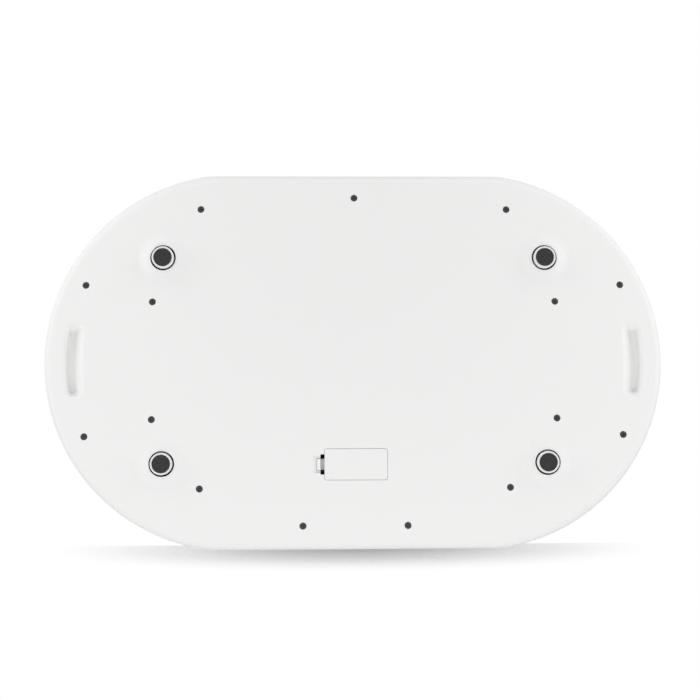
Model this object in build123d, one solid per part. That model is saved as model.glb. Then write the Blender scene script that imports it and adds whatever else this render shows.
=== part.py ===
from build123d import *
import math
import os

# Digital baby weighing scale, in millimetres.
# +Z is up, X runs along the length, and -Y is the front, where the display and the buttons are.
# The origin is on the table, under the middle of the scale.

# ---- overall form ----
overall_length = 545.0
overall_width = 330.4
overall_height = 54.0
side_cut = 1.5              # each long flat side lies this far inside the round ends
flat_blend_radius = 70.0    # blend between a round end and a long flat side
underside_z = 7.5           # flat underside above the table
base_height = 18.5          # underside to the seam
seam_gap = 0.8              # shadow gap between the two shells
wall = 2.5
base_edge_radius = 7.0
rim_edge_radius = 6.0
fit = 0.3                   # clearance around a piece that drops into another
touch = 0.05                # working clearance between a screw or pin and its hole
pick = 0.01                 # how near a place an edge lies when it is picked by place

# ---- tray: dish and front shelf ----
dish_floor_rise = 4.2       # tray's lower edge to the dish's floor
dish_slope = 40.0           # degrees, dish side away from the vertical
dish_floor_radius = 28.0
dish_rim_radius = 5.0
dish_corner_radius = 40.0
rim_width = 13.0
shelf_depth = 66.9          # front edge to the crease, along Y
shelf_tilt = 8.5            # degrees
shelf_blend_radius = 60.0
shelf_to_dish = 10.0
lip_thickness = 1.2
lip_depth = 4.0
rib_thickness = 1.6
tray_rib_depth = 5.0
base_rib_height = 4.0
rib_field_length = 246.0
rib_field_front = -60.0
rib_field_back = 110.0
rib_rows = 4
rib_columns = 5

# ---- case screws ----
screw_head_diameter = 5.4
screw_head_height = 2.2
screw_shank_diameter = 2.9
screw_grip = 9.0            # thread length in the tray's boss
screw_recess = 1.0
counterbore_diameter = 6.2
screw_clear_diameter = 3.4
base_boss_diameter = 9.0
tray_boss_diameter = 8.0
boss_joint_height = 8.5     # underside to the face where the bosses meet
end_screw_inset = 36.4
end_screw_y = 66.4
inner_screw_inset = 94.7
inner_screw_y = 51.7
corner_screw_inset = 136.8
rear_screw_inset = 31.1
front_screw_inset = 53.1
rear_middle_inset = 20.8
front_middle_inset = 20.6
front_middle_x = 45.7
cross_width = 0.9
cross_length = 3.2
cross_depth = 1.3

# ---- feet and load cells ----
foot_inset_x = 104.1
foot_inset_y = 74.9
pad_diameter = 15.7
pad_proud = 1.0
pad_seat_depth = 1.2
cup_diameter = 19.2
foot_hole_diameter = 22.4
mound_height = 3.5
mound_foot_diameter = 42.0
mound_top_diameter = 26.0
mound_foot_radius = 15.0
mound_top_radius = 6.0
pivot_diameter = 10.0
stud_diameter = 4.0         # through the load cell's tongue
stake_diameter = 6.5        # the stud's head, melted over the tongue
stake_height = 1.2
cell_size = 34.0
cell_thickness = 1.5
cell_height = 4.5           # underside to the load cell
cell_frame = 5.0
tongue_width = 12.0
cradle_wall = 2.4
cradle_locating_height = 1.3
retainer_thickness = 3.0
retainer_ear_reach = 25.0
retainer_ear_diameter = 8.0
small_screw_diameter = 2.0
small_head_diameter = 4.2
small_head_height = 1.6
small_screw_length = 7.0

# ---- battery bay, door and latch ----
door_x = -0.7
door_inset = 73.8           # front edge to the door's centre line
door_length = 55.0
door_width = 27.0
door_thickness = 2.0
door_corner_radius = 2.0
door_gap = 0.3
door_edge = 0.15            # chamfer round the door's outer face
bay_ledge = 2.0
bay_end_wall = 3.0          # between the bay and the door's latch end
bay_wall = 1.6
cell_diameter = 10.5
battery_length = 44.5
battery_gap = 0.4
cap_diameter = 3.8
cap_height = 0.8
contact_thickness = 0.4
contact_width = 8.0
contact_height = 8.6
contact_drop = 3.6          # cell's axis to the contact's lower edge
bump_height = 0.8
spring_radius = 3.0
spring_wire = 0.6
spring_turns = 3.0
hook_width = 5.0
hook_spacing = 16.0
hook_reach = 1.5
hook_thickness = 1.2
hook_root = 2.0
hook_slot_height = 3.4
ledge_margin = 2.5          # thicker floor round the door's opening
ledge_thickness = 1.5
terminal_width = 3.0
terminal_height = 4.0       # above the bay's roof
latch_width = 9.6
latch_gap = 3.6             # door's end to the tab
tab_length = 3.0
tab_thickness = 2.0
tab_recess = 0.3
latch_leg = 1.2
latch_depth = 6.5           # underside to the bar
pocket_width = 17.6
nib_reach = 0.6
nib_height = 1.0
finger_ramp_length = 3.8
finger_ramp_depth = 1.8
finger_ramp_width = 14.8

# ---- finger grips in the underside ----
grip_length = 65.0
grip_width = 15.7
grip_inset = 18.6           # end of the scale to the grip's outer wall
grip_inner_radius = 270.0   # curve of the grip's inner wall, seen from below
grip_depth = 7.0
grip_outer_draft = 15.0     # degrees, outer wall away from the vertical
grip_inner_draft = 52.0     # degrees, inner wall away from the vertical
grip_edge_radius = 3.0
grip_roof_radius = 2.0      # between the walls and the roof
grip_corner_radius = 7.0
grip_roof_corner = 1.7

# ---- display, buttons and board, measured on the sloping shelf ----
console_inset = 35.9        # front edge to the shelf's middle
lens_length = 92.0
lens_width = 32.0
lens_thickness = 1.5
lens_corner_radius = 4.0
lens_offset = 10.5          # from the shelf's middle, away from the user
lens_recess = 0.1
lens_seat_thickness = 2.0
module_length = 70.0
module_width = 24.0
module_height = 8.0
module_gap = 0.8            # below the lens
board_length = 82.0
board_width = 53.0
board_thickness = 1.6
board_corner_radius = 1.5
board_offset = 0.5
board_boss_diameter = 5.0
board_boss_x = 38.3
board_boss_pilot = 5.7
board_boss_y = 24.5
button_length = 18.0
button_width = 9.0
button_pitch = 26.0
button_offset = -18.0
button_proud = 0.8
button_gap = 0.3
button_flange = 1.3
button_flange_thickness = 1.0
button_travel = 0.6
button_stem_diameter = 4.0
switch_size = 6.0
switch_height = 3.5
plunger_diameter = 3.4
plunger_length = 2.5
plunger_proud = 1.0
chip_size = 12.0
chip_height = 2.0
socket_length = 6.0
socket_width = 5.0
socket_height = 5.5
socket_pitch = 12.0
socket_offset = 12.0

# ---- leads ----
cell_lead_diameter = 1.4
battery_lead_diameter = 1.2
lead_straight = 11.5        # run out of a load cell before the lead turns
socket_run = 9.0            # straight run into a socket
battery_lead_rise = 4.5
arc_share = 0.45            # of a run, used by the arc at each end of it
# What each socket on the board serves, from the left.
SOCKETS = ["front_left", "rear_left", "negative", "positive", "rear_right", "front_right"]
# Each point of a lane: towards the middle, towards the front, and above the floor.
FRONT_LANE = [(26, 11, 0), (52, 24, 0), (86, 32, 0), (108, 33, 4)]
REAR_LANE = [
    (19, 12, 0), (20, 45, 0), (19, 85, 0), (20, 125, 0), (24, 164, 0),
    (44, 188, 0), (74, 201, 0), (108, 208, 2), (126, 212, 8),
]

# ---- places worked out from the sizes above ----
end_radius = overall_width / 2 + side_cut
seam_z = underside_z + base_height
tray_z = seam_z + seam_gap
floor_z = underside_z + wall
dish_floor_z = tray_z + dish_floor_rise
dish_depth = overall_height - dish_floor_z
boss_joint_z = underside_z + boss_joint_height
foot_x = overall_length / 2 - foot_inset_x
foot_y = overall_width / 2 - foot_inset_y
mound_z = underside_z - mound_height
cup_top_z = mound_z + wall + fit
cell_z = underside_z + cell_height
cell_top_z = cell_z + cell_thickness
front_y = -overall_width / 2
crease_y = front_y + shelf_depth
dish_front_y = crease_y + shelf_to_dish
door_y = front_y + door_inset
door_x0 = door_x - door_length / 2
door_x1 = door_x + door_length / 2
bay_x0 = door_x0 + bay_ledge
bay_x1 = door_x1 - bay_end_wall
bay_width = door_width - 2 * bay_ledge
bay_floor_z = underside_z + door_thickness
bay_top_z = bay_floor_z + cell_diameter + 2 * fit
battery_z = bay_floor_z + fit + cell_diameter / 2
battery_step = (cell_diameter + battery_gap) / 2
pocket_x0 = bay_x1 + bay_wall
tab_x0 = door_x1 + latch_gap
ledge_x = tab_x0 + tab_length + door_gap
bar_z = underside_z + latch_depth
pocket_top_z = bar_z + latch_leg + door_gap
nib_z = underside_z + finger_ramp_depth + nib_height
hook_places = [door_y - hook_spacing / 2, door_y + hook_spacing / 2]
tab_places = [(bay_x1 - contact_thickness / 2, door_y + y * battery_step) for y in (-1, 1)]
contact_z = battery_z - contact_drop
small_pilot_depth = small_screw_length - retainer_thickness + fit
lead_notch = (8.0, 11.0)
console_y = front_y + console_inset
console_z = overall_height - (crease_y - console_y) * math.tan(math.radians(shelf_tilt))
shelf = Plane(
    origin=(0, console_y, console_z),
    x_dir=(1, 0, 0),
    z_dir=(0, -math.sin(math.radians(shelf_tilt)), math.cos(math.radians(shelf_tilt))),
)
lens_seat_z = -lens_thickness - lens_recess
module_z = -lens_thickness - module_gap
board_z = module_z - module_height
plunger_z = board_z + switch_height + plunger_proud
board_bosses = [(x * board_boss_x, board_offset + y * board_boss_y) for x in (-1, 1) for y in (-1, 1)]
socket_y = board_offset + socket_offset
socket_places = [(i - (len(SOCKETS) - 1) / 2) * socket_pitch for i in range(len(SOCKETS))]
spring_room = bay_x1 - bay_x0 - contact_thickness - battery_length - bump_height
spring_length = spring_room - contact_thickness
end_screw_x = overall_length / 2 - end_screw_inset
inner_screw_x = overall_length / 2 - inner_screw_inset
corner_x = overall_length / 2 - corner_screw_inset
end_screws = [(x * end_screw_x, y * end_screw_y) for x in (-1, 1) for y in (-1, 1)]
inner_screws = [(x * inner_screw_x, y * inner_screw_y) for x in (-1, 1) for y in (-1, 1)]
rear_screws = [(x * corner_x, -front_y - rear_screw_inset) for x in (-1, 1)]
front_screws = [(x * corner_x, front_y + front_screw_inset) for x in (-1, 1)]
middle_screws = [
    (0, -front_y - rear_middle_inset),
    (-front_middle_x, front_y + front_middle_inset),
    (front_middle_x, front_y + front_middle_inset),
]
screw_places = end_screws + inner_screws + rear_screws + front_screws + middle_screws
screw_head_z = underside_z + screw_recess
screw_seat_z = screw_head_z + screw_head_height
screw_tip_z = boss_joint_z + screw_grip
SIDES = {"left": -1, "right": 1}
ENDS = {"front": -1, "rear": 1}
CORNERS = {
    f"{end}_{side}": (SIDES[side] * foot_x, ENDS[end] * foot_y) for end in ENDS for side in SIDES
}
EARS = (-retainer_ear_reach, retainer_ear_reach)
ear_places = [(x + ear, y) for x, y in CORNERS.values() for ear in EARS]
BUTTONS = {"unit_button": -button_pitch, "hold_button": 0.0, "tare_button": button_pitch}
FROM_BELOW = (Align.CENTER, Align.CENTER, Align.MIN)


# ---- shorthand for plain forms ----
def block(x0, x1, y0, y1, z0, z1):
    return Pos((x0 + x1) / 2, (y0 + y1) / 2, z0) * Box(abs(x1 - x0), y1 - y0, z1 - z0, align=FROM_BELOW)


def rod(place, diameter, z0, z1):
    return Pos(place[0], place[1], z0) * Cylinder(diameter / 2, z1 - z0, align=FROM_BELOW)


def prism(face, z0, z1):
    return extrude(Pos(0, 0, z0) * face, amount=z1 - z0)


def edges_at(part, z):
    """The edges of a part that lie level at height z."""
    return part.edges().filter_by_position(Axis.Z, z - pick, z + pick)


# ---- outline, dish and shelf ----
def outline(inset=0.0):
    """The scale's plan: two round ends cut by two flat sides, with blended joins."""
    ends = SlotOverall(overall_length - 2 * inset, 2 * (end_radius - inset))
    strip = Rectangle(overall_length, overall_width - 2 * inset)
    shape = ends & strip
    return fillet(shape.vertices(), flat_blend_radius - inset)


def dish_plan(grow=0.0):
    """The dish's plan: the outline less the rim, with a straight front edge."""
    whole = outline(rim_width - grow)
    depth = overall_width / 2 - dish_front_y + grow
    behind = Pos(0, dish_front_y - grow + depth / 2) * Rectangle(overall_length, depth)
    shape = whole & behind
    corners = shape.vertices().sort_by(Axis.Y)[:2]
    return fillet(corners, dish_corner_radius + grow)


def dish(grow=0.0):
    """The dish as a solid that is cut from the tray, larger all round by grow."""
    plan = Pos(0, 0, overall_height) * dish_plan(grow)
    return extrude(plan, amount=dish_depth + grow, dir=(0, 0, -1), taper=dish_slope)


def shelf_profile(drop=0.0):
    """The tray's height along Y as a prism across X: level over the dish, sloping over the shelf."""
    reach = overall_width
    slope = math.tan(math.radians(shelf_tilt))
    top = overall_height - drop
    low = seam_z - overall_height
    start = (-reach, top - (reach + crease_y) * slope)
    side = Polyline(start, (crease_y, top), (reach, top), (reach, low), (-reach, low), close=True)
    face = make_face(Plane.YZ * side)
    crease = face.vertices().sort_by(Axis.Z)[-2:].sort_by(Axis.Y)[0]
    face = fillet(crease, shelf_blend_radius - drop)
    return extrude(face, amount=overall_length, both=True)


def dish_tool(grow=0.0):
    """The dish with its floor rounded into its sides."""
    shape = dish(grow)
    return fillet(edges_at(shape, dish_floor_z - grow), dish_floor_radius + grow)


def console_block(x, y, length, width, z0, z1, radius=0.0):
    """A block measured on the sloping shelf: x and y along it, z out of it."""
    plan = RectangleRounded(length, width, radius) if radius else Rectangle(length, width)
    return shelf * (Pos(x, y, z0) * extrude(plan, amount=z1 - z0))


def console_rod(x, y, diameter, z0, z1):
    return shelf * (Pos(x, y, z0) * Cylinder(diameter / 2, z1 - z0, align=FROM_BELOW))


def ribs(z0, z1):
    """A field of crossing ribs under the middle of the dish."""
    half = rib_field_length / 2
    span = rib_field_back - rib_field_front
    rows = [rib_field_front + span * i / (rib_rows - 1) for i in range(rib_rows)]
    columns = [-half + rib_field_length * i / (rib_columns - 1) for i in range(rib_columns)]
    along = [block(-half, half, y, y + rib_thickness, z0, z1) for y in rows]
    across = [
        block(x - rib_thickness / 2, x + rib_thickness / 2, rib_field_front, rib_field_back, z0, z1)
        for x in columns
    ]
    return Part() + along + across


# ---- lower shell ----
def base_outside():
    """A flat underside with a rounded edge and a low mound round each foot."""
    solid = prism(outline(), underside_z, seam_z)
    solid = fillet(edges_at(solid, underside_z), base_edge_radius)
    for x, y in CORNERS.values():
        solid += Pos(x, y, mound_z) * Cone(
            mound_top_diameter / 2, mound_foot_diameter / 2, mound_height, align=FROM_BELOW
        )
    solid = fillet(round_edges(solid, underside_z, mound_foot_diameter), mound_foot_radius)
    return fillet(round_edges(solid, mound_z, mound_top_diameter), mound_top_radius)


def round_edges(part, z, diameter):
    circles = edges_at(part, z).filter_by(GeomType.CIRCLE)
    return circles.filter_by(lambda e: abs(e.radius - diameter / 2) < pick)


def base_hollow():
    solid = prism(outline(wall), floor_z, tray_z)
    solid = fillet(edges_at(solid, floor_z), base_edge_radius - wall)
    slope = math.atan2(mound_height, (mound_foot_diameter - mound_top_diameter) / 2)
    shift = wall * math.tan(slope / 2)
    for x, y in CORNERS.values():
        solid += Pos(x, y, mound_z + wall) * Cone(
            mound_top_diameter / 2 - shift, mound_foot_diameter / 2 - shift, mound_height, align=FROM_BELOW
        )
    return solid


def cradle(side):
    """Square seat for a load cell, with a boss each side for its retainer."""
    inner = cell_size / 2 + fit
    outer = inner + cradle_wall
    opening = cell_size / 2 - cell_frame + fit
    top = cell_z + cradle_locating_height
    shape = block(-outer, outer, -outer, outer, mound_z + wall / 2, top)
    shape -= block(-inner, inner, -inner, inner, cell_z, top)
    shape -= block(-opening, opening, -opening, opening, mound_z, cell_z)
    for x in EARS:
        shape += rod((x, 0), retainer_ear_diameter, floor_z - wall / 2, cell_top_z)
    return shape - block(-side * outer, -side * (inner - wall), *lead_notch, cell_z, top)


def bay_walls():
    """The battery bay, the thicker floor round the door, and the latch's pocket."""
    half = bay_width / 2 + bay_wall
    x0, x1 = bay_x0 - bay_wall, bay_x1 + bay_wall
    solid = block(x0, x1, door_y - half, door_y + half, underside_z, bay_top_z + bay_wall)
    half = door_width / 2 + ledge_margin
    x0, x1 = door_x0 - hook_reach - ledge_margin, door_x1 + door_gap
    solid += block(x0, x1, door_y - half, door_y + half, underside_z, bay_floor_z + ledge_thickness)
    half = pocket_width / 2 + bay_wall
    x0, x1 = bay_x1, ledge_x + finger_ramp_length + bay_wall
    return solid + block(x0, x1, door_y - half, door_y + half, underside_z, pocket_top_z + bay_wall)


def bay_cuts():
    rebate = RectangleRounded(
        door_length + 2 * door_gap, door_width + 2 * door_gap, door_corner_radius + door_gap
    )
    cut = Pos(door_x, door_y) * prism(rebate, underside_z - wall, bay_floor_z)
    half = bay_width / 2
    cut += block(bay_x0, bay_x1, door_y - half, door_y + half, bay_floor_z - fit, bay_top_z)
    half = hook_width / 2 + fit
    x0 = door_x0 - door_gap - hook_reach - fit
    for y in hook_places:
        cut += block(x0, bay_x0 + fit, y - half, y + half, bay_floor_z, bay_floor_z + hook_slot_height)
    half = terminal_width / 2 + fit
    for x, y in tab_places:
        x0, x1 = x - contact_thickness, x + contact_thickness
        cut += block(x0, x1, y - half, y + half, bay_top_z - fit, bay_top_z + 2 * bay_wall)
    return cut + latch_cuts()


def latch_cuts():
    """The latch's pocket, open above its slot, the undercut for its nib, and the ramp for a finger."""
    low = underside_z - wall
    half = pocket_width / 2
    cut = block(pocket_x0, tab_x0, door_y - half, door_y + half, low, pocket_top_z + 2 * bay_wall)
    half = latch_width / 2
    cut += block(tab_x0, ledge_x, door_y - half - fit, door_y + half + fit, low, pocket_top_z)
    x0, x1 = ledge_x - fit, ledge_x + nib_reach + 2 * fit
    cut += block(x0, x1, door_y - half, door_y + half, nib_z - fit, nib_z + nib_height + 2 * fit)
    ramp_x = ledge_x + finger_ramp_length
    ramp_z = underside_z + finger_ramp_depth
    ramp = Polyline(
        (tab_x0, low), (ramp_x, low), (ramp_x, underside_z), (ledge_x, ramp_z), (tab_x0, ramp_z), close=True
    )
    face = make_face(Plane.XZ * ramp)
    return cut + Pos(0, door_y, 0) * extrude(face, amount=finger_ramp_width / 2, both=True)


def grip_plan(side, grow=0.0, corner=grip_corner_radius, shift=0.0):
    """A finger grip's plan: outside it follows the scale's round end, and inside it is flatter."""
    centre = overall_length / 2 - end_radius
    inner_x = overall_length / 2 - grip_inset - grip_width
    outer = Pos(centre, 0) * Circle(end_radius - grip_inset + grow)
    inner = Pos(inner_x - grip_inner_radius, 0) * Circle(grip_inner_radius - grow)
    band = Pos(inner_x, 0) * Rectangle(end_radius, grip_length + 2 * grow)
    shape = (outer - inner) & band
    shape = Pos(shift, 0) * fillet(shape.vertices(), corner)
    return mirror(shape, about=Plane.YZ) if side < 0 else shape


def grip(side, grow=0.0):
    """A finger grip's hollow: steep outside, a long slope inside, and rounded into its roof."""
    height = grip_depth + grow
    steep = height * math.tan(math.radians(grip_outer_draft))
    gentle = height * math.tan(math.radians(grip_inner_draft))
    mouth = Pos(0, 0, underside_z) * grip_plan(side, grow, grip_corner_radius + grow)
    roof = grip_plan(side, grow - (gentle + steep) / 2, grip_roof_corner, (gentle - steep) / 2)
    hollow = loft([mouth, Pos(0, 0, underside_z + height) * roof], ruled=True)
    return fillet(edges_at(hollow, underside_z + height), grip_roof_radius)


def base_shell():
    outside = base_outside()
    solid = outside - base_hollow()
    for place in screw_places:
        solid += rod(place, base_boss_diameter, underside_z + wall / 2, boss_joint_z)
    for x, y in CORNERS.values():
        solid += Pos(x, y) * cradle(math.copysign(1, x)) & outside
        solid -= rod((x, y), foot_hole_diameter, 0, cup_top_z)
    for place in ear_places:
        solid -= rod(place, small_screw_diameter + 2 * touch, cell_top_z - small_pilot_depth, cell_top_z)
    solid += ribs(floor_z - fit, floor_z + base_rib_height)
    for side in SIDES.values():
        solid += grip(side, wall)
        solid -= grip(side)
    solid += bay_walls()
    solid -= bay_cuts()
    for place in screw_places:
        solid -= rod(place, counterbore_diameter, 0, screw_seat_z)
        solid -= rod(place, screw_clear_diameter, 0, boss_joint_z)
    return fillet(grip_rims(solid), grip_edge_radius)


def grip_rims(solid):
    """The edges where the grips meet the flat underside."""
    plans = [Pos(0, 0, underside_z) * grip_plan(side) for side in SIDES.values()]
    return edges_at(solid, underside_z).filter_by(
        lambda e: min(plan.distance_to(Vertex(*(e @ 0.5))) for plan in plans) < pick
    )


# ---- upper shell ----
def tray_outside(inset=0.0):
    """The tray's outer form before the dish is cut, smaller all round by inset."""
    solid = prism(outline(inset), tray_z, overall_height) & shelf_profile(inset)
    return fillet(top_edges(solid), rim_edge_radius - inset)


def top_edges(solid):
    """The loop round the top, without the two lines where the shelf's blend crosses it."""
    upper = solid.edges().filter_by(lambda e: e.bounding_box().min.Z > tray_z + wall)
    return upper.filter_by(
        lambda e: abs(e.center().X) > rim_width or abs(e.center().Y - crease_y) > rim_width
    )


def tray_form():
    """The tray's outer form with its dish."""
    solid = tray_outside() - dish_tool()
    rim = dish_plan().wire()
    lip = edges_at(solid, overall_height).filter_by(
        lambda e: rim.distance_to(Pos(0, 0, -overall_height) * Vertex(*(e @ 0.5))) < pick
    )
    return fillet(lip, dish_rim_radius)


def lip():
    """A rib inside the tray's wall that drops behind the lower shell's wall."""
    inner = outline(wall + fit + lip_thickness)
    joined = prism(outline(wall - touch) - inner, tray_z, tray_z + wall)
    return joined + prism(outline(wall + fit) - inner, seam_z - lip_depth, tray_z)


def console_cuts():
    """The lens seat, the display's opening and the three button holes."""
    corner = lens_corner_radius + fit / 2
    cut = console_block(0, lens_offset, lens_length + fit, lens_width + fit, lens_seat_z, wall, corner)
    length, width = module_length + 2 * fit, module_width + 2 * fit
    cut += console_block(0, lens_offset, length, width, lens_seat_z - 2 * lens_seat_thickness, 0)
    for x in BUTTONS.values():
        cut += button_form(x, button_gap, -2 * wall, wall)
    for x, y in board_bosses:
        cut += console_rod(x, y, small_screw_diameter + 2 * touch, board_z, board_z + board_boss_pilot)
    return cut


def button_form(x, grow, z0, z1):
    plan = SlotOverall(button_length + 2 * grow, button_width + 2 * grow)
    return shelf * (Pos(x, button_offset, z0) * extrude(plan, amount=z1 - z0))


def tray_shell():
    form = tray_form()
    solid = form - (tray_outside(wall) - dish_tool(wall))
    solid += lip()
    solid += ribs(dish_floor_z - wall - tray_rib_depth, dish_floor_z - wall / 2)
    for place in screw_places:
        solid += rod(place, tray_boss_diameter, boss_joint_z, overall_height) & form
    length, width = lens_length + 2 * wall, lens_width + 2 * wall
    solid += console_block(0, lens_offset, length, width, lens_seat_z - lens_seat_thickness, -wall / 2)
    for x, y in board_bosses:
        solid += console_rod(x, y, board_boss_diameter, board_z, lens_seat_z - fit)
    for place in screw_places:
        solid -= rod(place, screw_shank_diameter + 2 * touch, boss_joint_z, screw_tip_z + fit)
    return solid - console_cuts()


# ---- fasteners ----
def cross_recess(length, width, depth):
    return Box(length, width, 2 * depth) + Box(width, length, 2 * depth)


def screw(head_diameter, head_height, shank_diameter, tip_z):
    """A pan-head screw that points up, with its head's outer face at z = 0."""
    head = Cylinder(head_diameter / 2, head_height, align=FROM_BELOW)
    head = fillet(edges_at(head, 0), head_height / 3)
    shank = rod((0, 0), shank_diameter, head_height, tip_z)
    shank = chamfer(edges_at(shank, tip_z), shank_diameter / 5)
    scale = head_diameter / screw_head_diameter
    return head + shank - cross_recess(cross_length * scale, cross_width * scale, cross_depth * scale)


def case_screws():
    one = screw(screw_head_diameter, screw_head_height, screw_shank_diameter, screw_tip_z - screw_head_z)
    return Part() + [Pos(x, y, screw_head_z) * one for x, y in screw_places]


def small_screw():
    tip_z = small_head_height + small_screw_length
    return screw(small_head_diameter, small_head_height, small_screw_diameter, tip_z)


def board_screws():
    z = board_z - board_thickness - small_head_height
    return Part() + [shelf * (Pos(x, y, z) * small_screw()) for x, y in board_bosses]


def retainer_screws():
    z = cell_top_z + retainer_thickness + small_head_height
    down = Rot(180, 0, 0) * small_screw()
    return Part() + [Pos(x, y, z) * down for x, y in ear_places]


# ---- feet and load cells ----
def foot_cup(x, y):
    """White cup of a foot: its pivot carries the load cell's tongue, and a staked stud holds it there."""
    cup = rod((0, 0), cup_diameter, pad_proud, cup_top_z)
    cup = fillet(edges_at(cup, pad_proud), (cup_diameter - pad_diameter) / 8)
    cup += rod((0, 0), pivot_diameter, cup_top_z, cell_z)
    cup += rod((0, 0), stud_diameter, cell_z, cell_top_z)
    cup += rod((0, 0), stake_diameter, cell_top_z, cell_top_z + stake_height)
    return Pos(x, y) * (cup - rod((0, 0), pad_diameter + fit, 0, pad_proud + pad_seat_depth))


def foot_pad(x, y):
    pad = rod((0, 0), pad_diameter, 0, pad_proud + pad_seat_depth)
    return Pos(x, y) * fillet(edges_at(pad, 0), pad_proud / 3)


def load_cell(x, y):
    """Square steel plate with a tongue that bends towards its open side."""
    half = cell_size / 2
    inner = half - cell_frame
    tongue = tongue_width / 2
    level = (cell_z, cell_top_z)
    plate = block(-half, half, -half, half, *level)
    plate -= block(-inner, -tongue, -inner, inner, *level)
    plate -= block(tongue, inner, -inner, inner, *level)
    plate -= block(-tongue - fit, tongue + fit, -inner, -pivot_diameter / 2 - fit, *level)
    plate -= rod((0, 0), stud_diameter + 2 * touch, *level)
    return Pos(x, y) * plate


def load_cell_retainer(x, y):
    """Plastic frame that clamps the load cell's rim, with a screw ear each side."""
    half = cell_size / 2
    inner = half - cell_frame
    low = cell_top_z
    top = low + retainer_thickness
    plate = block(-half, half, -half, half, low, top)
    bar = SlotOverall(2 * retainer_ear_reach + retainer_ear_diameter, retainer_ear_diameter)
    plate += prism(bar, low, top)
    plate -= block(-inner, inner, -inner, inner, low, top)
    for ear in EARS:
        plate -= rod((ear, 0), small_screw_diameter + fit, low, top)
    return Pos(x, y) * plate


# ---- battery bay's pieces ----
def battery_cell(x0, direction, y):
    """A cell that lies along X: its flat end is at x0 and its capped end points along direction."""
    can = Cylinder(cell_diameter / 2, battery_length - cap_height, align=FROM_BELOW)
    can = fillet(can.edges().filter_by(GeomType.CIRCLE), cap_height / 2)
    can += Pos(0, 0, battery_length - cap_height) * Cylinder(cap_diameter / 2, cap_height, align=FROM_BELOW)
    return Plane(origin=(x0, y, battery_z), x_dir=(0, 1, 0), z_dir=(direction, 0, 0)) * can


def contact_plate(x0, y0, y1):
    return block(x0, x0 + contact_thickness, y0, y1, contact_z, contact_z + contact_height)


def contact_spring(x0, direction, y):
    """A coil that starts on the plate's face at x0 and ends at the cell's flat end."""
    height = spring_length - spring_wire - touch
    start = Plane(
        origin=(x0 + direction * (spring_wire / 2 - touch), y, battery_z),
        x_dir=(0, 1, 0), z_dir=(direction, 0, 0),
    )
    path = Helix(height / spring_turns, height, spring_radius)
    section = Plane(origin=path @ 0, z_dir=path % 0) * Circle(spring_wire / 2)
    return start * sweep(section, path=path, is_frenet=True)


def contact_bump(x0, direction, y):
    plane = Plane(origin=(x0, y, battery_z), x_dir=(0, 1, 0), z_dir=(direction, 0, 0))
    return plane * Cone(cap_diameter / 2, cap_diameter / 3, bump_height, align=FROM_BELOW)


def terminal(place):
    x, y = place
    half = contact_thickness / 2
    low = contact_z + contact_height
    return block(
        x - half, x + half, y - terminal_width / 2, y + terminal_width / 2, low, bay_top_z + terminal_height
    )


def battery_contact_bridge():
    reach = battery_step + contact_width / 2
    plate = contact_plate(bay_x0, door_y - reach, door_y + reach)
    face = bay_x0 + contact_thickness
    plate += contact_bump(face, 1, door_y + battery_step)
    return plate + contact_spring(face, 1, door_y - battery_step)


def battery_contact_positive():
    place = tab_places[0]
    half = contact_width / 2
    plate = contact_plate(bay_x1 - contact_thickness, place[1] - half, place[1] + half)
    return plate + terminal(place) + contact_bump(bay_x1 - contact_thickness, -1, place[1])


def battery_contact_negative():
    place = tab_places[1]
    half = contact_width / 2
    plate = contact_plate(bay_x1 - contact_thickness, place[1] - half, place[1] + half)
    return plate + terminal(place) + contact_spring(bay_x1 - contact_thickness, -1, place[1])


def battery_door():
    """The door with two hooks at one end and, at the other, the leg and bar that carry the latch."""
    plan = RectangleRounded(door_length, door_width, door_corner_radius)
    door = Pos(door_x, door_y) * prism(plan, underside_z, bay_floor_z)
    door = chamfer(edges_at(door, underside_z), door_edge)
    hook_z = bay_floor_z + fit / 2
    for y in hook_places:
        y0, y1 = y - hook_width / 2, y + hook_width / 2
        door += block(door_x0, door_x0 + hook_root, y0, y1, bay_floor_z, hook_z + hook_thickness)
        door += block(door_x0 - hook_reach, door_x0, y0, y1, hook_z, hook_z + hook_thickness)
    y0, y1 = door_y - latch_width / 2, door_y + latch_width / 2
    door += block(pocket_x0 + fit, door_x1, y0, y1, bay_floor_z, bar_z)
    return door + block(pocket_x0 + fit, tab_x0 + tab_length - fit, y0, y1, bar_z, bar_z + latch_leg)


def battery_latch():
    """The latch's outer leg: a finger tab at the surface, and a nib that catches in the shell."""
    y0, y1 = door_y - latch_width / 2, door_y + latch_width / 2
    low = underside_z + tab_recess
    tab = block(tab_x0, tab_x0 + tab_length, y0, y1, low, low + tab_thickness)
    tab = fillet(tab.edges().filter_by(Axis.Y).sort_by(Axis.Z)[:2], tab_thickness / 4)
    leg_x1 = tab_x0 + tab_length - 2 * fit
    tab += block(leg_x1 - latch_leg, leg_x1, y0, y1, low + tab_thickness / 2, bar_z)
    return tab + block(leg_x1, ledge_x + nib_reach, y0 + fit, y1 - fit, nib_z + fit / 2, nib_z + nib_height)


# ---- display, buttons and board ----
def display_lens():
    return console_block(
        0, lens_offset, lens_length - fit, lens_width - fit, lens_seat_z, lens_seat_z + lens_thickness,
        lens_corner_radius,
    )


def display_module():
    return console_block(0, lens_offset, module_length, module_width, board_z, module_z)


def main_board():
    board = console_block(
        0, board_offset, board_length, board_width, board_z - board_thickness, board_z, board_corner_radius
    )
    for x, y in board_bosses:
        board -= console_rod(x, y, small_screw_diameter + fit, board_z - board_thickness, board_z)
    return board


def controller_chip():
    low = board_z - board_thickness - chip_height
    return console_block(0, button_offset / 2, chip_size, chip_size, low, low + chip_height)


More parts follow.
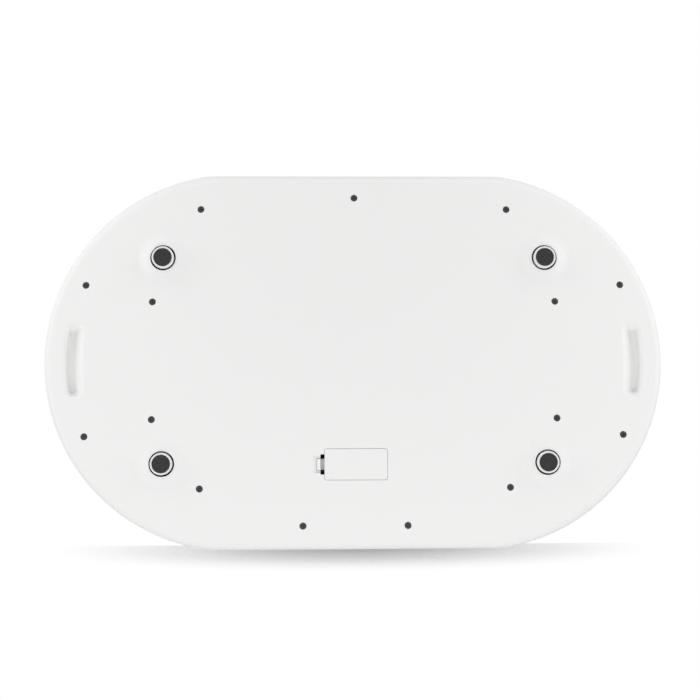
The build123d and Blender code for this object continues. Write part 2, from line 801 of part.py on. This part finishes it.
def lead_sockets():
    top = board_z - board_thickness
    level = (top - socket_height, top)
    return Part() + [console_block(x, socket_y, socket_length, socket_width, *level) for x in socket_places]


def tact_switches():
    """Three switch bodies on the board, each with a well for its plunger."""
    well_z = plunger_z - plunger_length - button_travel - fit
    solids = []
    for x in BUTTONS.values():
        body = console_block(x, button_offset, switch_size, switch_size, board_z, board_z + switch_height)
        well = console_rod(x, button_offset, plunger_diameter + fit, well_z, board_z + switch_height)
        solids.append(body - well)
    return Part() + solids


def switch_plunger(x):
    return console_rod(x, button_offset, plunger_diameter, plunger_z - plunger_length, plunger_z)


def button(x):
    """A capsule key with a flange under the shell and a stem that rests on its switch."""
    cap = button_form(x, 0, -wall, button_proud)
    top = cap.faces().sort_by(Axis((0, 0, 0), shelf.z_dir))[-1]
    cap = fillet(top.edges(), button_proud / 2)
    cap += button_form(x, button_flange, -wall - button_flange_thickness, -wall)
    return cap + console_rod(x, button_offset, button_stem_diameter, plunger_z, -wall)


# ---- leads ----
def tube(name, points, diameter):
    """A lead along straight runs joined by arcs, each arc as large as its two runs allow."""
    places = [Vector(*p) for p in points]
    runs = [b - a for a, b in zip(places, places[1:])]
    radii = []
    for first, second in zip(runs, runs[1:]):
        half_turn = math.radians(first.get_angle(second)) / 2
        radii.append(arc_share * min(first.length, second.length) / math.tan(half_turn))
    path = FilletPolyline(*places, radius=radii)
    solid = sweep(Plane(origin=path @ 0, z_dir=path % 0) * Circle(diameter / 2), path=path)
    ideal = math.pi * diameter**2 / 4 * path.length
    print(name, "radii", [round(radius, 1) for radius in radii], "volume", round(solid.volume / ideal, 3))
    return solid


def socket_exit(index, reach):
    """A point under a socket, reach below its mouth."""
    low = board_z - board_thickness - socket_height
    place = shelf * Pos(socket_places[index], socket_y, low - reach)
    return tuple(place.position)


def cell_lead(name, corner, lane, index):
    """From a load cell along its lane on the floor, then up to a socket on the board."""
    x, y = CORNERS[corner]
    side = math.copysign(1, x)
    start_x = x - side * cell_size / 2
    start_y = y + sum(lead_notch) / 2
    level = cell_z + cell_thickness / 2
    lane_z = floor_z + cell_lead_diameter
    points = [(start_x, start_y, level), (start_x - side * lead_straight, start_y, level)]
    for inward, forward, rise in lane:
        points.append((start_x - side * inward, start_y - forward, lane_z + rise))
    points += [socket_exit(index, socket_run), socket_exit(index, 0)]
    return tube(name, points, cell_lead_diameter)


def battery_lead(name, place, index):
    """From a battery terminal over the bay's roof to the board."""
    x, y = place
    top = bay_top_z + terminal_height
    end = Vector(*socket_exit(index, battery_lead_rise))
    middle = ((x + end.X) / 2, (y + end.Y) / 2, top + battery_lead_rise)
    points = [(x, y, top), (x, y, top + battery_lead_rise), middle, tuple(end), socket_exit(index, 0)]
    return tube(name, points, battery_lead_diameter)


def all_nodes():
    nodes = {
        "base_shell": base_shell(),
        "tray_shell": tray_shell(),
        "case_screws": case_screws(),
        "retainer_screws": retainer_screws(),
        "board_screws": board_screws(),
        "battery_door": battery_door(),
        "battery_latch": battery_latch(),
        "battery_contact_bridge": battery_contact_bridge(),
        "battery_contact_positive": battery_contact_positive(),
        "battery_contact_negative": battery_contact_negative(),
        "battery_front": battery_cell(bay_x0 + spring_room, 1, door_y - battery_step),
        "battery_rear": battery_cell(bay_x1 - spring_room, -1, door_y + battery_step),
        "display_lens": display_lens(),
        "display_module": display_module(),
        "main_board": main_board(),
        "controller_chip": controller_chip(),
        "lead_sockets": lead_sockets(),
        "tact_switches": tact_switches(),
    }
    for corner, (x, y) in CORNERS.items():
        nodes[f"foot_cup_{corner}"] = foot_cup(x, y)
        nodes[f"foot_pad_{corner}"] = foot_pad(x, y)
        nodes[f"load_cell_{corner}"] = load_cell(x, y)
        nodes[f"load_cell_retainer_{corner}"] = load_cell_retainer(x, y)
    for name, x in BUTTONS.items():
        nodes[name] = button(x)
        nodes[name.replace("button", "switch_plunger")] = switch_plunger(x)
    for corner in CORNERS:
        lane = FRONT_LANE if corner.startswith("front") else REAR_LANE
        name = f"load_cell_lead_{corner}"
        nodes[name] = cell_lead(name, corner, lane, SOCKETS.index(corner))
    for pole, place in zip(["positive", "negative"], tab_places):
        name = f"battery_lead_{pole}"
        nodes[name] = battery_lead(name, place, SOCKETS.index(pole))
    return nodes


os.makedirs("parts", exist_ok=True)
for node, shape in all_nodes().items():
    export_step(shape, f"parts/{node}.step")
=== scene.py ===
"""Looks, light and camera for the digital baby weighing scale.

The row frame is in metres: +Z up, X along the length, -Y the front edge. In the main view the scale
stands on its long front edge and leans back, so the camera looks up along +Z at the underside, with +Y
up in the picture.
"""
import math

import bpy
from mathutils import Matrix, Vector


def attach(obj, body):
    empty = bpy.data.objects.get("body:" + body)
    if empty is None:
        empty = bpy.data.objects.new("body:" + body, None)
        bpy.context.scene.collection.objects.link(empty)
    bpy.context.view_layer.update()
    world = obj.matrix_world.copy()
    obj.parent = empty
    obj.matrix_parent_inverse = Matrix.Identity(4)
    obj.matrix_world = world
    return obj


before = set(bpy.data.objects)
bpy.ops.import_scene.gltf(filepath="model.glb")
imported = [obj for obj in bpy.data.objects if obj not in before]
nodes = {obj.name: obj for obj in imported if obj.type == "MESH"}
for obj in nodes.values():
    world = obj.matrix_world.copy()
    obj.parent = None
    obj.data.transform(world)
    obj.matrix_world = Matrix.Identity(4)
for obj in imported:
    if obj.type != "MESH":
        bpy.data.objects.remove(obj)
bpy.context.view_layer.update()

CORNERS = ("front_left", "front_right", "rear_left", "rear_right")
KEYS = ("unit", "hold", "tare")
UNDERSIDE_Z = 0.0075

# ---- camera ----
FOCAL_OVER_WIDTH = 1200 / 700
SENSOR_MM = 36.0
TILT_DEG = (-4.846, -1.482, -0.143)       # about the picture's x, y and z
OFFSET = Vector((0.0042, 0.00871, 1.0553))

# ---- the shelf that carries the display and the keys ----
SHELF_TILT = math.radians(8.5)
SHELF_TOP_Z = 0.054
SHELF_HALF_DEPTH = 0.031
SHELF_ORIGIN = Vector((0.0, -0.1293, SHELF_TOP_Z - SHELF_HALF_DEPTH * math.tan(SHELF_TILT)))
LENS_OFFSET = 0.0105
KEY_OFFSET = -0.018
KEY_PITCH = 0.026
KEY_PROUD = 0.0008

# ---- what the display and the keys show ----
PANEL_HALF = (0.0332, 0.0108)
PANEL_BLUR = 0.0004
DIGIT_PLACES = (-0.0225, -0.0085, 0.0085, 0.0225)
DIGIT_HEIGHT = 0.0155
DIGIT_SLANT = 0.08
POINT_PLACE = (-0.0007, -0.0068)          # from the display's middle
POINT_HALF = 0.0007
SEGMENT_DEPTH = -0.00008                  # under the lens's front
SEGMENT_THICKNESS = 0.00003
MARK_THICKNESS = 0.00004
MARK_SINK = 0.00002                       # of a mark's underside in its key
ARROW_TIP, ARROW_BASE, ARROW_HALF_HEIGHT = 0.0036, 0.0016, 0.0015
SHAFT_HALF = (0.0017, 0.00025)
BAR_PLACE, BAR_HALF = 0.0008, (0.0004, 0.0017)
RING_OUTER, RING_INNER, RING_STEPS = 0.0018, 0.0013, 32

# ---- standing place in the main view ----
LEAN = math.radians(12.0)
GROUND_HALF_WIDTH = 2.5
GROUND_NEAR = -1.6                        # its near end, measured away from the camera
GROUND_FAR = 0.012                        # its far end, under the scale
GROUND_FAR_HALF_WIDTH = 0.25
GROUND_NECK_HALF_WIDTH = 0.27             # where it meets the table's plane
# The standing ground is grey and fades into the white backdrop round the contact line. This is painted
# contact shadow, on top of the real shadow that its lamps cast past the scale.
GROUND_SHADOW_GREY = 0.58
GROUND_SHADOW_FADE = (0.28, 0.07)                # half axes of the ellipse in which it shows, whose fade shapes the painted shadow

# ---- table in the other views ----
TABLE_HALF_WIDTH = 4.0
TABLE_WHITE = 0.93

# ---- lamps: places and sizes in metres, powers in watts ----
SIDE_PLACE = (0.9, 0.1, -0.25)            # of the right one of a pair
UPPER_SIDE_PLACE = (0.65, 0.6, -0.2)
SIDE_SIZE = (0.4, 0.5)
KEY_PLACE = (0.7, -0.7, 1.5)
GROUND_SIDE_POWER = 2.2
GROUND_KEY = {"up": 1.8, "away": 0.54, "size": (2.6, 0.3), "power": 10.5}
GROUND_FILL = ((0.0, 0.0, -1.8), (1.6, 1.2), 0.3)
TABLE_SUN_SPREAD_DEG = 45.0
TABLE_SUN_STRENGTH = 2.4
SCALE_SIDE_POWER = 1.75
SCALE_UPPER_SIDE_POWER = 2.2
SCALE_LAMPS = (
    ("top", (0.0, 1.0, -0.35), (0.9, 0.4), 1.4),
    ("low_fill", (0.0, -0.6, -1.3), (1.6, 0.8), 6.85),
    ("bounce", (0.0, -0.95, -0.6), (1.6, 0.6), 5.2),
    ("upper_key", KEY_PLACE, (1.2, 1.2), 22.0),
)
WORLD_LIGHT = 0.4


# ---- node graph shorthand ----
class Graph:
    """A material's node tree with short calls for the few nodes used here."""

    def __init__(self, name):
        self.material = bpy.data.materials.new(name)
        self.material.use_nodes = True
        self.tree = self.material.node_tree
        self.bsdf = self.tree.nodes["Principled BSDF"]
        self.output = self.tree.nodes["Material Output"]

    def add(self, kind, **settings):
        node = self.tree.nodes.new(kind)
        for key, value in settings.items():
            setattr(node, key, value)
        return node

    def link(self, source, target):
        self.tree.links.new(source, target)

    def position(self):
        return self.add("ShaderNodeTexCoord").outputs["Object"]

    def noise(self, scale, detail=2.0, stretch=None):
        node = self.add("ShaderNodeTexNoise")
        node.inputs["Scale"].default_value = scale
        node.inputs["Detail"].default_value = detail
        place = self.position()
        if stretch:
            place = self.stretched(place, stretch)
        self.link(place, node.inputs["Vector"])
        return node.outputs["Fac"]

    def stretched(self, place, factors):
        node = self.add("ShaderNodeMapping")
        node.inputs["Scale"].default_value = factors
        self.link(place, node.inputs["Vector"])
        return node.outputs["Vector"]

    def ramp(self, value, low, high, out_low=0.0, out_high=1.0):
        node = self.add("ShaderNodeMapRange")
        node.inputs["From Min"].default_value = low
        node.inputs["From Max"].default_value = high
        node.inputs["To Min"].default_value = out_low
        node.inputs["To Max"].default_value = out_high
        self.link(value, node.inputs["Value"])
        return node.outputs["Result"]

    def mix(self, factor, a, b):
        node = self.add("ShaderNodeMix", data_type="RGBA")
        self.link(factor, node.inputs["Factor"])
        node.inputs["A"].default_value = (*a, 1.0)
        node.inputs["B"].default_value = (*b, 1.0)
        return node.outputs["Result"]

    def bump(self, height, distance, strength=1.0, before=None):
        node = self.add("ShaderNodeBump")
        node.inputs["Strength"].default_value = strength
        node.inputs["Distance"].default_value = distance
        self.link(height, node.inputs["Height"])
        if before is not None:
            self.link(before, node.inputs["Normal"])
        return node.outputs["Normal"]

    def finish(self, color, roughness, metallic=0.0, specular=0.5):
        self.bsdf.inputs["Base Color"].default_value = (*color, 1.0)
        self.bsdf.inputs["Roughness"].default_value = roughness
        self.bsdf.inputs["Metallic"].default_value = metallic
        self.bsdf.inputs["Specular IOR Level"].default_value = specular
        return self


def shade(value):
    """An even grey from a linear value."""
    return (value, value, value)


# ---- materials ----
def moulded_plastic(name, color, roughness, grain=2600.0, depth=0.00002, specular=0.4):
    """Moulded plastic: a fine grain in the surface and a faint unevenness in the gloss."""
    g = Graph(name).finish(color, roughness, specular=specular)
    fine = g.noise(grain, 3.0)
    g.link(g.bump(fine, depth, 0.5), g.bsdf.inputs["Normal"])
    broad = g.noise(22.0, 2.0)
    g.link(g.ramp(broad, 0.3, 0.7, roughness - 0.03, roughness + 0.03), g.bsdf.inputs["Roughness"])
    tint = g.mix(g.noise(9.0, 1.0), [c * 0.992 for c in color], color)
    g.link(tint, g.bsdf.inputs["Base Color"])
    return g.material


def pad_rubber():
    """Black rubber with a pebbled face and paler worn tops."""
    g = Graph("pad_rubber").finish(shade(0.03), 0.75, specular=0.35)
    cells = g.add("ShaderNodeTexVoronoi")
    cells.inputs["Scale"].default_value = 900.0
    g.link(g.position(), cells.inputs["Vector"])
    pebbles = g.ramp(cells.outputs["Distance"], 0.0, 0.6, 1.0, 0.0)
    g.link(g.bump(pebbles, 0.00012), g.bsdf.inputs["Normal"])
    g.link(g.mix(g.noise(520.0, 3.0), shade(0.012), shade(0.06)), g.bsdf.inputs["Base Color"])
    return g.material


def brushed(name, color, roughness, stretch):
    """Metal with fine lines along one axis."""
    g = Graph(name).finish(color, roughness, metallic=1.0)
    lines = g.noise(900.0, 3.0, stretch)
    g.link(g.bump(lines, 0.00002, 0.6), g.bsdf.inputs["Normal"])
    g.link(g.ramp(lines, 0.3, 0.7, roughness - 0.08, roughness + 0.1), g.bsdf.inputs["Roughness"])
    return g.material


def dark_screw():
    """Dark coated steel, paler where the coating has rubbed."""
    g = Graph("dark_screw").finish(shade(0.05), 0.45, metallic=0.6)
    g.link(g.mix(g.noise(700.0, 3.0), shade(0.06), shade(0.18)), g.bsdf.inputs["Base Color"])
    g.link(g.bump(g.noise(1800.0, 2.0), 0.00002, 0.5), g.bsdf.inputs["Normal"])
    return g.material


def smoked_lens():
    """Glossy smoked window, with the paler panel of a liquid crystal display behind it."""
    g = Graph("smoked_lens").finish(shade(0.012), 0.08, specular=0.5)
    g.bsdf.inputs["Coat Weight"].default_value = 0.3
    g.bsdf.inputs["Coat Roughness"].default_value = 0.04
    split = g.add("ShaderNodeSeparateXYZ")
    g.link(g.position(), split.inputs["Vector"])
    along = g.add("ShaderNodeMath", operation="ABSOLUTE")
    g.link(split.outputs["X"], along.inputs[0])
    middle_y = SHELF_ORIGIN.y + LENS_OFFSET * math.cos(SHELF_TILT)
    offset = g.add("ShaderNodeMath", operation="SUBTRACT")
    g.link(split.outputs["Y"], offset.inputs[0])
    offset.inputs[1].default_value = middle_y
    across = g.add("ShaderNodeMath", operation="ABSOLUTE")
    g.link(offset.outputs[0], across.inputs[0])
    half_x, half_y = PANEL_HALF
    inside_x = g.ramp(along.outputs[0], half_x, half_x + PANEL_BLUR, 1.0, 0.0)
    inside_y = g.ramp(across.outputs[0], half_y, half_y + PANEL_BLUR, 1.0, 0.0)
    both = g.add("ShaderNodeMath", operation="MULTIPLY")
    g.link(inside_x, both.inputs[0])
    g.link(inside_y, both.inputs[1])
    g.link(g.mix(both.outputs[0], shade(0.008), (0.055, 0.07, 0.06)), g.bsdf.inputs["Base Color"])
    g.link(g.ramp(g.noise(60.0, 2.0), 0.3, 0.7, 0.06, 0.1), g.bsdf.inputs["Roughness"])
    return g.material


def circuit_board():
    """Green solder mask with faint copper runs under it."""
    g = Graph("circuit_board").finish((0.02, 0.16, 0.07), 0.35)
    runs = g.add("ShaderNodeTexBrick")
    runs.inputs["Scale"].default_value = 190.0
    runs.inputs["Mortar Size"].default_value = 0.03
    runs.inputs["Color1"].default_value = (0.02, 0.16, 0.07, 1.0)
    runs.inputs["Color2"].default_value = (0.02, 0.14, 0.06, 1.0)
    runs.inputs["Mortar"].default_value = (0.04, 0.26, 0.11, 1.0)
    g.link(g.position(), runs.inputs["Vector"])
    g.link(runs.outputs["Color"], g.bsdf.inputs["Base Color"])
    g.link(g.bump(g.noise(500.0, 2.0), 0.00002, 0.4), g.bsdf.inputs["Normal"])
    return g.material


def battery_skin(name, cap_side):
    """Printed foil: a dark sleeve with a copper band at the capped end."""
    dark, copper, band, blur = (0.03, 0.1, 0.14), (0.5, 0.2, 0.07), 0.0125, 0.00015
    g = Graph(name + "_skin").finish(dark, 0.3, metallic=0.4)
    split = g.add("ShaderNodeSeparateXYZ")
    g.link(g.position(), split.inputs["Vector"])
    end = max(cap_side * v.co.x for v in nodes[name].data.vertices)
    edge = cap_side * (end - band)
    before, after = (0.0, 1.0) if cap_side > 0 else (1.0, 0.0)
    capped = g.ramp(split.outputs["X"], edge - blur, edge + blur, before, after)
    g.link(g.mix(capped, dark, copper), g.bsdf.inputs["Base Color"])
    g.link(g.bump(g.noise(150.0, 2.0), 0.00002, 0.4), g.bsdf.inputs["Normal"])
    return g.material


def lead_sleeve(name, color):
    """Soft lead sleeve with a slight sheen and small unevenness."""
    g = Graph(name).finish(color, 0.5)
    g.link(g.bump(g.noise(800.0, 2.0), 0.00004, 0.5), g.bsdf.inputs["Normal"])
    g.link(g.mix(g.noise(40.0, 1.0), [c * 0.85 for c in color], color), g.bsdf.inputs["Base Color"])
    return g.material


def printed_mark():
    g = Graph("printed_mark").finish(shade(0.09), 0.5)
    g.link(g.mix(g.noise(900.0, 2.0), shade(0.08), shade(0.1)), g.bsdf.inputs["Base Color"])
    return g.material


def ghost_segment():
    """Unlit segments of the display, only a little paler than the panel."""
    g = Graph("ghost_segment").finish((0.085, 0.1, 0.09), 0.15)
    g.link(g.mix(g.noise(90.0, 1.0), (0.08, 0.095, 0.085), (0.09, 0.106, 0.094)), g.bsdf.inputs["Base Color"])
    return g.material


def paint(material, *names):
    for name in names:
        node = nodes[name]
        for place in node.material_slots:
            place.link = "OBJECT"
            place.material = material


def paint_everything():
    shell = moulded_plastic("shell_plastic", (0.81, 0.81, 0.805), 0.5)
    trim = moulded_plastic("trim_plastic", (0.84, 0.84, 0.835), 0.42)
    key = moulded_plastic("key_plastic", (0.52, 0.57, 0.62), 0.35, grain=3000.0)
    dark = moulded_plastic("dark_plastic", shade(0.025), 0.5)
    light = moulded_plastic("light_plastic", (0.7, 0.7, 0.68), 0.5)
    steel = brushed("contact_steel", (0.62, 0.62, 0.6), 0.3, (1.0, 12.0, 1.0))
    plate = brushed("load_cell_steel", (0.55, 0.56, 0.57), 0.35, (12.0, 1.0, 1.0))
    panel = moulded_plastic("display_panel", (0.22, 0.25, 0.22), 0.3)
    paint(shell, "base_shell", "tray_shell", "battery_door")
    paint(trim, "battery_latch", *[f"foot_cup_{c}" for c in CORNERS])
    paint(key, *[f"{k}_button" for k in KEYS])
    paint(dark, "controller_chip", "tact_switches", *[f"{k}_switch_plunger" for k in KEYS])
    paint(light, "lead_sockets", *[f"load_cell_retainer_{c}" for c in CORNERS])
    paint(steel, "battery_contact_bridge", "battery_contact_positive", "battery_contact_negative",
          "retainer_screws", "board_screws")
    paint(plate, *[f"load_cell_{c}" for c in CORNERS])
    paint(pad_rubber(), *[f"foot_pad_{c}" for c in CORNERS])
    paint(dark_screw(), "case_screws")
    paint(smoked_lens(), "display_lens")
    paint(panel, "display_module")
    paint(circuit_board(), "main_board")
    paint(battery_skin("battery_front", 1), "battery_front")
    paint(battery_skin("battery_rear", -1), "battery_rear")
    paint(lead_sleeve("grey_lead", shade(0.35)), *[f"load_cell_lead_{c}" for c in CORNERS])
    paint(lead_sleeve("red_lead", (0.45, 0.02, 0.015)), "battery_lead_positive")
    paint(lead_sleeve("black_lead", shade(0.02)), "battery_lead_negative")


# ---- printed marks on the shelf ----
def shelf_point(x, y, z):
    """A point measured on the sloping shelf, in the row frame."""
    c, s = math.cos(SHELF_TILT), math.sin(SHELF_TILT)
    return SHELF_ORIGIN + Vector((x, y * c - z * s, y * s + z * c))


def decal(name, outlines, z, thickness, material, body):
    """Thin closed plates that follow the shelf: each outline is a list of (x, y) places on it."""
    verts, faces = [], []
    for outline in outlines:
        n, start = len(outline), len(verts)
        for level in (z, z + thickness):
            verts += [shelf_point(x, y, level) for x, y in outline]
        faces.append([start + i for i in reversed(range(n))])
        faces.append([start + n + i for i in range(n)])
        for i in range(n):
            j = (i + 1) % n
            faces.append([start + i, start + j, start + n + j, start + n + i])
    mesh = bpy.data.meshes.new(name)
    mesh.from_pydata(verts, [], faces)
    mesh.materials.append(material)
    mesh.update()
    piece = bpy.data.objects.new(name, mesh)
    bpy.context.scene.collection.objects.link(piece)
    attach(piece, body)
    return piece


def bevelled_bar(half, thick):
    """A bar along X with pointed ends, turned clockwise."""
    inner = half - thick
    return [(-half, 0), (-inner, thick), (inner, thick), (half, 0), (inner, -thick), (-inner, -thick)]


def segment_outlines(x, y, height, slant):
    """The seven bars of one digit, whose middle is at (x, y)."""
    half, wide = height / 2, height * 0.27
    thick, gap = height * 0.075, height * 0.02
    level = bevelled_bar(wide - thick, thick)
    upright = bevelled_bar((half - thick) / 2 - gap, thick)
    bars = [[(px, py + level_y) for px, py in reversed(level)] for level_y in (half - thick, 0, thick - half)]
    for side in (-wide, wide):
        for upright_y in ((thick - half) / 2, (half - thick) / 2):
            bars.append([(py + side, px + upright_y) for px, py in upright])
    return [[(x + px + slant * py, y + py) for px, py in bar] for bar in bars]


def ring_outlines(x, y, outer, inner, steps):
    """A ring as a fan of small plates."""
    turns = [2 * math.pi * i / steps for i in range(steps + 1)]
    rays = [(math.cos(turn), math.sin(turn)) for turn in turns]
    return [
        [(x + r * c, y + r * s) for r, (c, s) in ((inner, a), (outer, a), (outer, b), (inner, b))]
        for a, b in zip(rays, rays[1:])
    ]


def bar_outline(x, y, half_x, half_y):
    corners = ((-1, -1), (1, -1), (1, 1), (-1, 1))
    return [(x + side * half_x, y + level * half_y) for side, level in corners]


def arrow_head(x, y, side):
    """The head of an arrow that points left or right from (x, y)."""
    tip, base, half = x + side * ARROW_TIP, x + side * ARROW_BASE, side * ARROW_HALF_HEIGHT
    return [(tip, y), (base, y + half), (base, y - half)]


def add_marks():
    """Unlit display digits, and one plain sign on each key: an arrow pair, two bars and a ring."""
    ghost, ink = ghost_segment(), printed_mark()
    digits = []
    for x in DIGIT_PLACES:
        digits += segment_outlines(x, LENS_OFFSET, DIGIT_HEIGHT, DIGIT_SLANT)
    point_x, point_y = POINT_PLACE
    digits.append(bar_outline(point_x, LENS_OFFSET + point_y, POINT_HALF, POINT_HALF))
    decal("display_segments", digits, SEGMENT_DEPTH, SEGMENT_THICKNESS, ghost, "housing")
    top = KEY_PROUD - MARK_SINK
    y = KEY_OFFSET
    left, middle, right = -KEY_PITCH, 0.0, KEY_PITCH
    arrows = [arrow_head(left, y, side) for side in (-1, 1)] + [bar_outline(left, y, *SHAFT_HALF)]
    decal("unit_mark", arrows, top, MARK_THICKNESS, ink, "unit_key")
    bars = [bar_outline(middle + side * BAR_PLACE, y, *BAR_HALF) for side in (-1, 1)]
    decal("hold_mark", bars, top, MARK_THICKNESS, ink, "hold_key")
    ring = ring_outlines(right, y, RING_OUTER, RING_INNER, RING_STEPS)
    decal("tare_mark", ring, top, MARK_THICKNESS, ink, "tare_key")


# ---- stage ----
def one_sided(name, value, fade, middle_z):
    """Diffuse ground that is only there from its front, and fades out in an ellipse across and along z. On
    the grey standing ground this fade into the white backdrop paints the soft edge of the contact shadow; the
    table only blends into the backdrop.
    """
    g = Graph(name).finish(shade(value), 1.0, specular=0.0)
    clear = g.add("ShaderNodeBsdfTransparent")
    side = g.add("ShaderNodeNewGeometry")
    place = g.add("ShaderNodeMapping")
    place.inputs["Scale"].default_value = (1.0 / fade[0], 0.0, 1.0 / fade[1])
    place.inputs["Location"].default_value = (0.0, 0.0, -middle_z / fade[1])
    g.link(g.position(), place.inputs["Vector"])
    far = g.add("ShaderNodeVectorMath", operation="LENGTH")
    g.link(place.outputs["Vector"], far.inputs[0])
    # fade into the white backdrop: on the standing ground this is the painted edge of the contact shadow
    soft = g.add("ShaderNodeMapRange", interpolation_type="SMOOTHSTEP")
    g.link(far.outputs["Value"], soft.inputs["Value"])
    hidden = g.add("ShaderNodeMath", operation="MAXIMUM")
    g.link(side.outputs["Backfacing"], hidden.inputs[0])
    g.link(soft.outputs["Result"], hidden.inputs[1])
    swap = g.add("ShaderNodeMixShader")
    g.link(hidden.outputs[0], swap.inputs["Fac"])
    g.link(g.bsdf.outputs["BSDF"], swap.inputs[1])
    g.link(clear.outputs["BSDF"], swap.inputs[2])
    g.link(swap.outputs["Shader"], g.output.inputs["Surface"])
    return g.material


def ground(name, corners, value, fade, middle_z):
    """A flat ground, seen only from the side on which its corners turn anticlockwise."""
    mesh = bpy.data.meshes.new(name)
    mesh.from_pydata(corners, [], [tuple(range(len(corners)))])
    mesh.materials.append(one_sided(name, value, fade, middle_z))
    piece = bpy.data.objects.new(name, mesh)
    bpy.context.scene.collection.objects.link(piece)
    piece.visible_diffuse = False
    piece.visible_glossy = False
    piece.visible_shadow = False
    return piece


def lowest_along(direction):
    """How far down the shown object reaches against a direction."""
    return min(direction.dot(v.co) for node in nodes.values() for v in node.data.vertices)


UP = Vector((0.0, math.cos(LEAN), -math.sin(LEAN)))
AWAY = Vector((0.0, math.sin(LEAN), math.cos(LEAN)))


def standing(x, up, away):
    """A place measured from the standing ground: across the picture, above it, and away from the camera."""
    return Vector((x, 0.0, 0.0)) + UP * (lowest_along(UP) + up) + AWAY * away


def add_grounds():
    """The ground the scale stands on in the main view, and the table under its feet for the other views."""
    level = lowest_along(UP) * math.tan(LEAN)   # how far away the standing ground meets the table's plane
    half, neck, far_half = GROUND_HALF_WIDTH, GROUND_NECK_HALF_WIDTH, GROUND_FAR_HALF_WIDTH
    front = [(half, GROUND_NEAR), (-half, GROUND_NEAR), (-half, level), (-neck, level)]
    under = [(-far_half, GROUND_FAR), (far_half, GROUND_FAR), (neck, level), (half, level)]
    corners = [standing(x, 0.0, away) for x, away in front + under]
    contact_z = standing(0.0, 0.0, 0.0).z
    turns = ((-1, -1), (1, -1), (1, 1), (-1, 1))
    table = [(x * TABLE_HALF_WIDTH, y * TABLE_HALF_WIDTH, 0.0) for x, y in turns]
    return (
        # grey and fading out round the contact line: painted contact shadow, added to the scale's real shadow
        # from the ground lamps
        ground("standing_ground", corners, GROUND_SHADOW_GREY, GROUND_SHADOW_FADE, contact_z),
        ground("table_ground", table, TABLE_WHITE, (TABLE_HALF_WIDTH, TABLE_HALF_WIDTH), 0.0),
    )


def area_light(name, place, size, power):
    """A soft rectangular lamp that faces the scale and isn't seen itself."""
    light = bpy.data.lights.new(name, "AREA")
    light.shape = "RECTANGLE"
    light.size, light.size_y = size
    light.energy = power
    lamp = bpy.data.objects.new(name, light)
    bpy.context.scene.collection.objects.link(lamp)
    lamp.location = place
    lamp.rotation_euler = (-Vector(place)).to_track_quat("-Z", "Y").to_euler()
    lamp.visible_camera = False
    lamp.visible_glossy = False
    return lamp


def sun_light(name, place, spread_deg, strength):
    """An even light from far away, as soft as its spread."""
    light = bpy.data.lights.new(name, "SUN")
    light.angle = math.radians(spread_deg)
    light.energy = strength
    lamp = bpy.data.objects.new(name, light)
    bpy.context.scene.collection.objects.link(lamp)
    lamp.rotation_euler = (-Vector(place)).to_track_quat("-Z", "Y").to_euler()
    return lamp


def light_only(name, lamps, pieces):
    """Keep some lamps' light to some pieces; everything still casts its shadow."""
    lit = bpy.data.collections.new(name)
    for piece in pieces:
        lit.objects.link(piece)
    for lamp in lamps:
        lamp.light_linking.receiver_collection = lit


def side_lights(place, power):
    """A pair of low lamps, one on each side, that rake the underside."""
    x, y, z = place
    return [area_light("side", (side * x, y, z), SIDE_SIZE, power) for side in (-1, 1)]


def add_lights(grounds):
    """Separate lamps for the ground and the scale, so that neither is too bright for the other."""
    ground_key = standing(0.0, GROUND_KEY["up"], GROUND_KEY["away"])
    light_only("grounds", side_lights(SIDE_PLACE, GROUND_SIDE_POWER) + [
        area_light("ground_key", ground_key, GROUND_KEY["size"], GROUND_KEY["power"]),
        area_light("ground_fill", *GROUND_FILL),
        sun_light("table_key", KEY_PLACE, TABLE_SUN_SPREAD_DEG, TABLE_SUN_STRENGTH),
    ], grounds)
    pairs = side_lights(SIDE_PLACE, SCALE_SIDE_POWER) + side_lights(UPPER_SIDE_PLACE, SCALE_UPPER_SIDE_POWER)
    pieces = [o for o in bpy.context.scene.objects if o.type == "MESH" and o not in grounds]
    light_only("scale", pairs + [area_light(*lamp) for lamp in SCALE_LAMPS], pieces)


def add_world():
    """White to the camera and through clear things, softer as light and in mirrors."""
    world = bpy.data.worlds.new("studio")
    bpy.context.scene.world = world
    world.use_nodes = True
    tree = world.node_tree
    background = tree.nodes["Background"]
    background.inputs["Color"].default_value = (1.0, 1.0, 1.0, 1.0)
    rays = tree.nodes.new("ShaderNodeLightPath")
    seen = tree.nodes.new("ShaderNodeMath")
    seen.operation = "MAXIMUM"
    tree.links.new(rays.outputs["Is Camera Ray"], seen.inputs[0])
    tree.links.new(rays.outputs["Is Transmission Ray"], seen.inputs[1])
    power = tree.nodes.new("ShaderNodeMapRange")
    power.inputs["To Min"].default_value = WORLD_LIGHT
    power.inputs["To Max"].default_value = 1.0
    tree.links.new(seen.outputs[0], power.inputs["Value"])
    tree.links.new(power.outputs["Result"], background.inputs["Strength"])


def add_camera():
    rx, ry, rz = (math.radians(v) for v in TILT_DEG)
    turn = Matrix.Rotation(rz, 3, "Z") @ Matrix.Rotation(ry, 3, "Y") @ Matrix.Rotation(rx, 3, "X")
    flip = Matrix.Diagonal((-1.0, -1.0, 1.0))
    right, down, forward = (flip @ turn.row[i] for i in range(3))
    place = flip @ (turn.transposed() @ -OFFSET) + Vector((0.0, 0.0, UNDERSIDE_Z))
    data = bpy.data.cameras.new("camera")
    data.sensor_width = SENSOR_MM
    data.lens = FOCAL_OVER_WIDTH * SENSOR_MM
    data.clip_start = 0.01
    camera = bpy.data.objects.new("camera", data)
    bpy.context.scene.collection.objects.link(camera)
    axes = Matrix((right, -down, -forward)).transposed()
    camera.matrix_world = Matrix.Translation(place) @ axes.to_4x4()
    bpy.context.scene.camera = camera


paint_everything()
add_marks()
add_lights(add_grounds())
add_world()
add_camera()
bpy.context.scene.view_settings.view_transform = "Standard"
